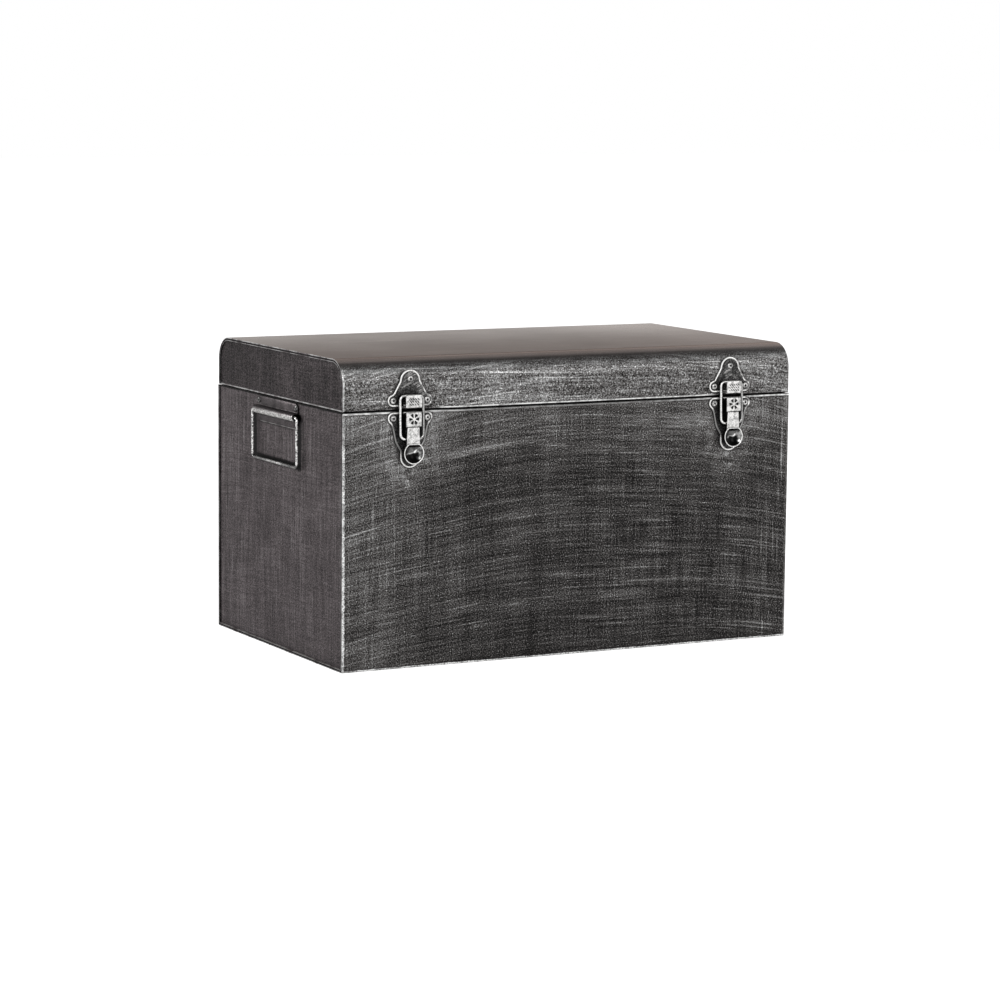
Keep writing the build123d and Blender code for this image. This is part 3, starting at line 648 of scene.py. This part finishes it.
sheet = sheet_material()
plate_face = plate_material()
plate_rim = rim_material()
hook_strip = strip_material("hatched_strip", hatching)
lever_strip = strip_material("stamped_strip", rosette)
bowl_inside = bowl_material()
wire = bail_material()
handle_wire = grip_material()
handle_steel = handle_material()
rivet_face = fitting_material("worn_rivet", 0.26, 0.92, 0.36, 0.66, 0.36, 0.0012)
rivet_hollow = fitting_material("rivet_hollow", 0.30, 0.66, 0.40, 0.70, 0.40, 0.0010, darkest=0.45)
handle_rivet = fitting_material("worn_handle_rivet", 0.20, 0.55, 0.40, 0.70, 0.40, 0.0012)
hinge_steel = fitting_material("worn_hinge", 0.20, 0.52, 0.40, 0.74, 0.42, 0.006, 0.22, 0.55, 0.15)
# The lever's sides and the bowl's back: near black as painted shade, with bright worn edges.
painted_shade_steel = fitting_material("painted_shade_recess", 0.06, 0.30, 0.50, 0.80, 0.40, 0.004, edges=0.75)


# Mesh helpers: every shape is a set of rings of points, joined one to the next


def make_object(name, parts, body, replaced):
    """One object from (vertices, faces, material) parts, riding on a body."""
    mesh = bpy.data.meshes.new(name)
    points, faces, indices = [], [], []
    for verts, polygons, material in parts:
        if material.name not in mesh.materials:
            mesh.materials.append(material)
        start = len(points)
        points += [tuple(v) for v in verts]
        faces += [tuple(start + i for i in polygon) for polygon in polygons]
        indices += [mesh.materials.find(material.name)] * len(polygons)
    mesh.from_pydata(points, [], faces)
    mesh.polygons.foreach_set("material_index", indices)
    mesh.shade_smooth()
    mesh.set_sharp_from_angle(angle=math.radians(50))
    item = bpy.data.objects.new(name, mesh)
    bpy.context.scene.collection.objects.link(item)
    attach(item, body)
    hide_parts(replaced)


def loft(rings, material, first=True, last=True):
    """Joins rings of the same number of points with quads, and closes the first and last ring."""
    count = len(rings[0])
    verts = [p for ring in rings for p in ring]
    faces = []
    for a in range(0, len(verts) - count, count):
        for i in range(count):
            j = (i + 1) % count
            faces.append((a + i, a + j, a + count + j, a + count + i))
    if first:
        faces.append(tuple(reversed(range(count))))
    if last:
        faces.append(tuple(range(len(verts) - count, len(verts))))
    return verts, faces, material


def rounded_path(points, radii, step=0.6 * MM):
    """A polyline with its inner corners rounded; radii has one value per inner corner."""
    points = [Vector(p) for p in points]
    path = [points[0]]
    for before, corner, after, radius in zip(points, points[1:], points[2:], radii):
        a, b = (before - corner).normalized(), (after - corner).normalized()
        half = a.angle(b) / 2
        centre = corner + (a + b).normalized() * (radius / math.sin(half))
        start = corner + a * (radius / math.tan(half)) - centre
        end = corner + b * (radius / math.tan(half)) - centre
        sweep = math.pi - 2 * half
        pieces = max(3, int(radius * sweep / step))
        for k in range(pieces + 1):
            s = k / pieces
            turn = start * math.sin((1 - s) * sweep) + end * math.sin(s * sweep)
            path.append(centre + turn / math.sin(sweep))
    path.append(points[-1])
    return path


def spaced(path, step):
    """The same path with points no further apart than step."""
    even = [path[0]]
    for a, b in zip(path, path[1:]):
        pieces = max(1, math.ceil((b - a).length / step))
        even += [a.lerp(b, k / pieces) for k in range(1, pieces + 1)]
    return even


def path_length(path):
    return sum((b - a).length for a, b in zip(path, path[1:]))


def directions(path):
    """The path's direction at each of its points."""
    return [(after - before).normalized() for before, after in zip(path[:1] + path, path[1:] + path[-1:])]


def circle(centre, radius, u, v, sides):
    """Points round a circle in the plane of u and v."""
    turns = (2 * math.pi * k / sides for k in range(sides))
    return [centre + radius * (math.cos(a) * u + math.sin(a) * v) for a in turns]


def tube(path, radius, material, sides=18, soft=0.3 * MM):
    """A round wire along a path, with softened ends."""
    ends = {0: [-soft, 0.0], len(path) - 1: [0.0, soft]}
    tangents = directions(path)
    normal = tangents[0].orthogonal().normalized()
    rings = []
    for i, (point, tangent) in enumerate(zip(path, tangents)):
        normal = (normal - tangent * normal.dot(tangent)).normalized()
        side = tangent.cross(normal)
        for along in ends.get(i, [0.0]):
            rings.append(circle(point + tangent * along, radius - abs(along), normal, side, sides))
    return loft(rings, material)


def spin(profile, origin, axis, material, sides=24):
    """Turns a profile of (radius, height) points, in millimetres, about an axis."""
    axis = Vector(axis)
    u = axis.orthogonal().normalized()
    v = axis.cross(u)
    start = Vector(origin)
    rings = [circle(start + axis * height * MM, radius * MM, u, v, sides) for radius, height in profile]
    return loft(rings, material)


def inset(outline, distance):
    """Moves each point of a closed counterclockwise (u, v) outline inward."""
    moved = []
    count = len(outline)
    for i in range(count):
        a, b, c = (Vector(outline[(i + k) % count]) for k in (-1, 0, 1))
        along = ((b - a).normalized() + (c - b).normalized()).normalized()
        moved.append((b.x - along.y * distance, b.y + along.x * distance))
    return moved


def slab(outline, place, levels, material, first=True, last=True):
    """A plate from rings of its outline; levels are (inset, height) pairs in millimetres, back to front."""
    rings = [[place(u, v, height * MM) for u, v in inset(outline, amount * MM)] for amount, height in levels]
    return loft(rings, material, first, last)


def smooth_outline(points, step):
    """A closed outline with points evenly spaced and its corners eased."""
    ring = spaced([Vector((*p, 0.0)) for p in points + points[:1]], step / 4)[:-1]
    lengths = [0.0]
    for a, b in zip(ring, ring[1:] + ring[:1]):
        lengths.append(lengths[-1] + (b - a).length)
    count = int(lengths[-1] / step)
    even, k = [], 0
    for n in range(count):
        target = lengths[-1] * n / count
        while lengths[k + 1] < target:
            k += 1
        even.append(ring[k])
    for _ in range(2):
        even = [(even[i - 1] + 2 * even[i] + even[(i + 1) % count]) / 4 for i in range(count)]
    return [(p.x, p.y) for p in even]


def width(loop):
    return max(p[0] for p in loop) - min(p[0] for p in loop) if loop else 0.0


def cad_outline(node, plane_y):
    """The outer boundary, as (x, z) points, of a CAD node's face that looks along -Y at plane_y."""
    mesh = nodes[node].data
    edges = {}
    for polygon in mesh.polygons:
        corners = [mesh.vertices[i].co for i in polygon.vertices]
        if any(abs(c.y - plane_y) > 2e-6 for c in corners):
            continue
        ring = [(round(c.x, 6), round(c.z, 6)) for c in corners]
        for a, b in zip(ring, ring[1:] + ring[:1]):
            if (b, a) in edges:
                del edges[(b, a)]
            else:
                edges[(a, b)] = True
    after = dict(edges.keys())
    best = []
    while after:
        start, point = after.popitem()
        loop = [start]
        while point != start and point in after:
            loop.append(point)
            point = after.pop(point)
        best = max(best, loop, key=width)
    return best


def counterclockwise(loop):
    area = sum(a[0] * b[1] - b[0] * a[1] for a, b in zip(loop, loop[1:] + loop[:1]))
    return loop if area > 0 else loop[::-1]


def section(half_width, half_height, radius, steps=3):
    """A rounded rectangle as (u, v) points."""
    points = []
    for cx, cy, start in ((1, 1, 0), (-1, 1, 90), (-1, -1, 180), (1, -1, 270)):
        for k in range(steps + 1):
            a = math.radians(start + 90 * k / steps)
            points.append((cx * (half_width - radius) + radius * math.cos(a),
                           cy * (half_height - radius) + radius * math.sin(a)))
    return points


def folded_strip(path, half_width, x0, material, soft=0.35 * MM):
    """A strip of sheet along a path in the YZ plane; half_width(share) is half its width there."""
    ends = {0: [-soft, -soft * 0.3, 0.0], len(path) - 1: [0.0, soft * 0.3, soft]}
    total = path_length(path)
    rings = []
    for i, (point, tangent) in enumerate(zip(path, directions(path))):
        normal = Vector((1, 0, 0)).cross(tangent)
        half = half_width(path_length(path[:i + 1]) / total)
        for along in ends.get(i, [0.0]):
            shrink = abs(along)
            centre = point + tangent * along + Vector((x0, 0, 0))
            ring = section(half - shrink, HALF_SHEET - shrink * 0.9, soft - shrink * 0.8)
            rings.append([centre + Vector((u, 0, 0)) + normal * v for u, v in ring])
    return loft(rings, material)


# The CAD's own sheets, hinges and pins, with softened edges and a finish

for name, item in nodes.items():
    is_sheet = name.endswith(("_wrap", "_end"))
    fitting = plate_rim if name.endswith(("pin", "rivets")) else hinge_steel
    item.data.materials.clear()
    item.data.materials.append(sheet if is_sheet else fitting)
    bevel = item.modifiers.new("edge", "BEVEL")
    bevel.width = 0.4 * MM if is_sheet else 0.2 * MM
    bevel.segments = 2
    bevel.limit_method = "ANGLE"
    bevel.angle_limit = math.radians(40)


# Fittings


def rivets(node, spots, body, face=rivet_face, hollow=rivet_hollow):
    """Dimpled rivets; each spot is (place on the face, direction out, grip in millimetres)."""
    parts = []
    for place, out, grip in spots:
        back = [(0.1, -grip - 0.9), (2.2, -grip - 0.9), (2.4, -grip - 0.6), (2.4, -grip), (1.5, -grip)]
        head = [(1.5, -0.3), (3.0, -0.3), (3.0, 0.0), (2.92, 0.35), (2.66, 0.75), (2.2, 1.08), (1.75, 1.26),
                (1.4, 1.28), (1.15, 1.16)]
        dimple = [(1.15, 1.16), (1.0, 0.95), (0.75, 0.82), (0.02, 0.80)]
        parts.append(spin(back + head, place, out, face))
        parts.append(spin(dimple, place, out, hollow))
    make_object("rivets_" + node, parts, body, node)


def latch_rivets(side, x0):
    """The three rivets of each latch plate: a pair side by side, and a single one over or under it."""
    out = (0, -1, 0)
    for plate, body, face_y, pair_at, pair_grip, single_at, single_grip in (
            ("keeper", "lid", KEEPER_FACE, low, 2.2, high, 3.3),
            ("plate", "body", PLATE_FACE, high, 3.2, low, 2.2)):
        node = f"latch_{side}_{plate}_rivets"
        pair_z, single_z = pair_at(node, Z, RIVET_RADIUS), single_at(node, Z, RIVET_RADIUS)
        pair = [((x0 + across, face_y, pair_z), out, pair_grip) for across in (-RIVET_REACH, RIVET_REACH)]
        rivets(node, pair + [((x0, face_y, single_z), out, single_grip)], body)


def latch_plate(node, face_y):
    """A pressed plate with a raised bright rim, from the outline that the CAD has."""
    outline = smooth_outline(counterclockwise(cad_outline(node, face_y)), 0.6 * MM)

    def place(u, v, height):
        return (u, face_y - height, v)

    rim = [(0.0, -1.2), (0.0, -0.5), (0.10, -0.12), (0.38, 0.07), (0.95, 0.09), (1.30, -0.02), (1.55, -0.22)]
    face = [rim[-1], (2.0, -0.26)]
    return [slab(outline, place, rim, plate_rim, last=False),
            slab(outline, place, face, plate_face, first=False)]


def pair_of_sides(points, inner, x0, material):
    """Two flat sides of a latch: (y, z) points about the lever's pin and a place across, in millimetres."""
    about_pin = [(PIN_Y + y * MM, PIN_Z + z * MM) for y, z in points]
    outline = smooth_outline(counterclockwise(about_pin), 0.4 * MM)
    thick, soft = SHEET_THICK / MM, 0.3
    levels = [(soft, 0.0), (soft * 0.3, soft * 0.3), (0.0, soft), (0.0, thick - soft),
              (soft * 0.3, thick - soft * 0.3), (soft, thick)]
    pair = []
    for start in (x0 - inner * MM - SHEET_THICK, x0 + inner * MM):
        pair.append(slab(outline, lambda u, v, height: (start + height, u, v), levels, material))
    return pair


def bent_strip(start_y, bend_z, end_z, radius, half, x0, material):
    """A strip that comes out at bend_z and turns along the latch's front to end_z."""
    path = rounded_path([(0, start_y, bend_z), (0, STRIP_FRONT, bend_z), (0, STRIP_FRONT, end_z)], [radius])
    return folded_strip(spaced(path, 1.2 * MM), lambda share: half, x0, material)


def thumb_bowl(x0):
    """The dished thumb piece at the foot of the lever: a circle cut flat at its top, with a rolled rim."""
    count, flat_top = 72, 8.6 * MM
    turns = [2 * math.pi * k / count for k in range(count)]
    outline = [(BOWL_RADIUS * math.cos(a), min(BOWL_RADIUS * math.sin(a), flat_top)) for a in turns]

    def ring(scale, height):
        return [(x0 + scale * u, BOWL_Y + height * MM, BOWL_Z + scale * v) for u, v in outline]

    back = [ring(s, 0.5 + 5.6 * (1 - s * s)) for s in (0.05, 0.3, 0.5, 0.7, 0.85, 0.95, 1.0)]
    rolled = [(1.0, 0.5), (1.025, 0.15), (BOWL_BEAD, -0.15), (1.02, -0.42), (0.99, -0.52), (0.955, -0.40),
              (0.935, -0.08)]
    bead = [ring(s, height) for s, height in rolled]
    dish = [ring(s, -0.63 + 4.9 * (1 - s * s)) for s in (0.90, 0.82, 0.7, 0.55, 0.4, 0.2, 0.05)]
    return [loft(back, painted_shade_steel, last=False), loft(bead, plate_rim, first=False, last=False),
            loft([bead[-1]] + dish, bowl_inside, first=False)]


def lever(side, x0):
    """The folded lever: wide head, narrower neck, four cheeks and the thumb bowl."""
    node = f"latch_{side}_lever"
    head_top = high(node, Z, HALF_SHEET)
    neck = [Vector((0, PIN_Y - 1.6 * MM, PIN_Z - 8.8 * MM)), Vector((0, PIN_Y - 2.0 * MM, BOWL_Z + 8.0 * MM))]
    parts = [bent_strip(PIN_Y - 1.75 * MM, head_top, HEAD_FOOT, 1.1 * MM, 8.0 * MM, x0, lever_strip),
             folded_strip(spaced(neck, 1.2 * MM), lambda share: (6.1 + 0.9 * share) * MM, x0, lever_strip)]
    cheek = [(-2.8, -12.2), (-1.1, -17.6), (1.4, -17.8), (2.8, -10.8), (2.8, 0.2), (2.0, 2.4), (-2.8, 2.8)]
    web = [(-2.2, -25.6), (1.4, -25.6), (2.8, -24.4), (2.8, -22.0), (2.2, -9.0), (-2.2, -9.0)]
    parts += pair_of_sides(cheek, 6.8, x0, painted_shade_steel) + pair_of_sides(web, 5.3, x0, painted_shade_steel)
    parts += thumb_bowl(x0)
    make_object(f"lever_{side}", parts, f"lever_{side}", node)


def keeper(side, x0):
    """The lid's plate with its hatched hook."""
    node = f"latch_{side}_keeper"
    hook = bent_strip(KEEPER_FACE + 0.4 * MM, HOOK_LOW, HOOK_TOP, 1.3 * MM, 8.5 * MM, x0, hook_strip)
    make_object(f"keeper_{side}", latch_plate(node, KEEPER_FACE) + [hook], "lid", node)


def lower_plate(side, x0):
    """The base's plate with the two lugs that the lever's cheeks hide."""
    node = f"latch_{side}_plate"
    lug = [(4.8, -1.0), (2.0, 1.0), (0.8, 1.8), (-0.6, 1.9), (-1.9, 0.6), (-1.9, -1.0), (-0.6, -1.9),
           (1.0, -2.5), (4.8, -8.0)]
    parts = latch_plate(node, PLATE_FACE) + pair_of_sides(lug, 4.6, x0, plate_face)
    make_object(f"latch_plate_{side}", parts, "body", node)


def closed_wire(corners, radii, radius, material):
    """A bent wire loop from the right half's corners, mirrored about local x = 0, butted at its start."""
    right = [Vector(c) for c in corners]
    left = [Vector((-c.x, c.y, c.z)) for c in reversed(right)]
    path = rounded_path(right + left, radii + radii[::-1])
    return tube(spaced(path, 2.0 * MM), radius, material)


def latch_bail(side, x0):
    """The wire that the lever pulls over the keeper's hook."""
    out, low_z, top_z = BAIL_HALF - WIRE_RADIUS, BAIL_LOW + WIRE_RADIUS, BAIL_TOP - 1.1 * MM
    low_y, top_y = PIN_Y + 1.0 * MM, PIN_Y + 2.3 * MM
    verts, faces, steel = closed_wire([(0.4 * MM, low_y, low_z), (out, low_y, low_z), (out, top_y, top_z)],
                                      [5.2 * MM, 4.2 * MM], WIRE_RADIUS, wire)
    moved = [v + Vector((x0, 0, 0)) for v in verts]
    make_object(f"latch_bail_{side}", [(moved, faces, steel)], f"latch_bail_{side}",
                f"latch_{side}_bail")


def turned(part, sign):
    """Turns a part drawn for the front so that it faces out of an end; sign is -1 on the left."""
    return [Vector((-sign * p[1], sign * p[0], p[2])) for p in part[0]], part[1], part[2]


def handle_plate(side, sign):
    """A flat strip with a pressed channel for the wire, round corners, and its two rivets."""
    node = f"handle_{side}_plate"
    back, proud, rise = -STRAP_OUT - HALF_SHEET, -AXIS_OUT - 2.36 * MM, 3.4 * MM
    ends = HALF_SHEET - 0.25 * MM
    route = rounded_path([(0, back, STRAP_TOP - ends), (0, back, AXIS_Z + rise), (0, proud, AXIS_Z + rise),
                          (0, proud, AXIS_Z - rise), (0, back, AXIS_Z - rise), (0, back, STRAP_LOW + ends)],
                         [1.4 * MM, 3.2 * MM, 3.2 * MM, 1.4 * MM])
    route = spaced(route, 0.7 * MM)

    def half_width(share, corner=5.0 * MM):
        beyond = max(0.0, corner - min(share, 1 - share) * path_length(route))
        return STRAP_HALF - corner + math.sqrt(max(0.0, corner ** 2 - beyond ** 2))

    strip = folded_strip(route, half_width, 0.0, handle_steel)
    make_object(f"handle_plate_{side}", [turned(strip, sign)], "body", node)
    node += "_rivets"
    rivet_x, rivet_y, rivet_z = sign * (STRAP_OUT + SHEET_THICK), high(node, Y, RIVET_RADIUS), middle(node, Z)
    spots = [((rivet_x, y, rivet_z), (sign, 0, 0), 3.2) for y in (-rivet_y, rivet_y)]
    rivets(node, spots, "body", handle_rivet, handle_rivet)


def handle_grip(side, sign):
    """The handle's wire."""
    corners = [(MM, -AXIS_OUT, AXIS_Z), (GRIP_HALF, -AXIS_OUT, AXIS_Z), (GRIP_HALF, -AXIS_OUT, GRIP_LOW)]
    grip = turned(closed_wire(corners, [3.5 * MM, 4.5 * MM], GRIP_RADIUS, handle_wire), sign)
    make_object(f"handle_{side}", [grip], f"handle_{side}", f"handle_{side}_bail")


for side, sign in (("left", -1), ("right", 1)):
    x0 = sign * LATCH_X
    keeper(side, x0)
    lower_plate(side, x0)
    latch_rivets(side, x0)
    lever(side, x0)
    latch_bail(side, x0)
    handle_plate(side, sign)
    handle_grip(side, sign)


# Studio


def studio_surface(name, shade, glow):
    """Matt surface that keeps the object's shadow and is white to the camera and in reflections."""
    material = bpy.data.materials.new(name)
    t = Tree(material)
    path = t.node("ShaderNodeLightPath").outputs
    diffuse = t.node("ShaderNodeBsdfDiffuse", Color=(shade, shade, shade, 1.0))
    lift = t.node("ShaderNodeEmission", Strength=t.mul(path["Is Camera Ray"], glow))
    white = t.node("ShaderNodeEmission", Strength=1.0)
    seen = t.node("ShaderNodeAddShader", None, diffuse.outputs[0], lift.outputs[0])
    mirrored = t.most(path["Is Glossy Ray"], path["Is Transmission Ray"])
    blend = t.node("ShaderNodeMixShader", None, mirrored, seen.outputs[0], white.outputs[0])
    t.node("ShaderNodeOutputMaterial", None, blend.outputs[0])
    return material


def make_floor(reach=14.0):
    mesh = bpy.data.meshes.new("floor")
    corners = [(-reach, -reach, 0), (reach, -reach, 0), (reach, reach, 0), (-reach, reach, 0)]
    mesh.from_pydata(corners, [], [(0, 1, 2, 3)])
    floor = bpy.data.objects.new("floor", mesh)
    bpy.context.scene.collection.objects.link(floor)
    mesh.materials.append(studio_surface("floor_white", 0.9, 0.66))


def make_world(horizon=0.06, overhead=0.60, overhead_grey=0.26, soft_light=0.55):
    """White to the camera; to reflections white at the horizon and grey overhead; soft light otherwise."""
    world = bpy.data.worlds.new("studio")
    bpy.context.scene.world = world
    t = Tree(world)
    path = t.node("ShaderNodeLightPath").outputs
    place = t.node("ShaderNodeTexCoord").outputs["Generated"]
    height = t.node("ShaderNodeSeparateXYZ", Vector=place).outputs["Z"]
    fade = t.node("ShaderNodeMapRange", None, height, horizon, overhead, 1.0, overhead_grey).outputs[0]
    mirrored = t.most(path["Is Glossy Ray"], path["Is Transmission Ray"])
    light = t.node("ShaderNodeMapRange", Value=mirrored, To_Min=soft_light, To_Max=fade).outputs[0]
    strength = t.node("ShaderNodeMapRange", Value=path["Is Camera Ray"], To_Min=light, To_Max=1.0).outputs[0]
    back = t.node("ShaderNodeBackground", Strength=strength, Color=WHITE)
    t.node("ShaderNodeOutputWorld", None, back.outputs[0])


def area_light(name, place, target, size, power):
    light = bpy.data.lights.new(name, "AREA")
    light.shape = "RECTANGLE"
    light.size, light.size_y = size
    light.energy = power
    lamp = bpy.data.objects.new(name, light)
    lamp.location = place
    lamp.rotation_euler = (Vector(target) - Vector(place)).to_track_quat("-Z", "Y").to_euler()
    lamp.visible_camera = False
    bpy.context.scene.collection.objects.link(lamp)


def make_camera():
    """The photograph's camera, from a fit to the box's edges."""
    photo_pixels, focal_pixels = 1000, 3312.82
    place = (-1.57470, -2.97351, 0.58988)
    yaw, pitch, roll = (math.radians(a) for a in (27.8854, 7.6941, -0.5585))
    level = Matrix.Rotation(-yaw, 4, "Z") @ Matrix.Rotation(math.pi / 2 - pitch, 4, "X")
    camera = bpy.data.cameras.new("camera")
    camera.sensor_width = 36.0
    camera.lens = camera.sensor_width * focal_pixels / photo_pixels
    camera.clip_end = 100.0
    holder = bpy.data.objects.new("camera", camera)
    holder.matrix_world = Matrix.Translation(place) @ level @ Matrix.Rotation(-roll, 4, "Z")
    bpy.context.scene.collection.objects.link(holder)
    bpy.context.scene.camera = holder


make_floor()
make_world()
make_camera()
area_light("key", (-1.2, -2.4, 2.0), (0.0, 0.0, HALF_HEIGHT), (1.2, 1.0), 29.0)
area_light("fill", (1.6, -2.6, 1.6), (0.0, 0.0, HALF_HEIGHT), (1.4, 1.4), 12.0)
area_light("rim", (-2.2, 1.9, 1.0), (-0.1, 0.0, HALF_HEIGHT), (0.4, 0.4), 40.0)
bpy.context.scene.view_settings.view_transform = "Standard"
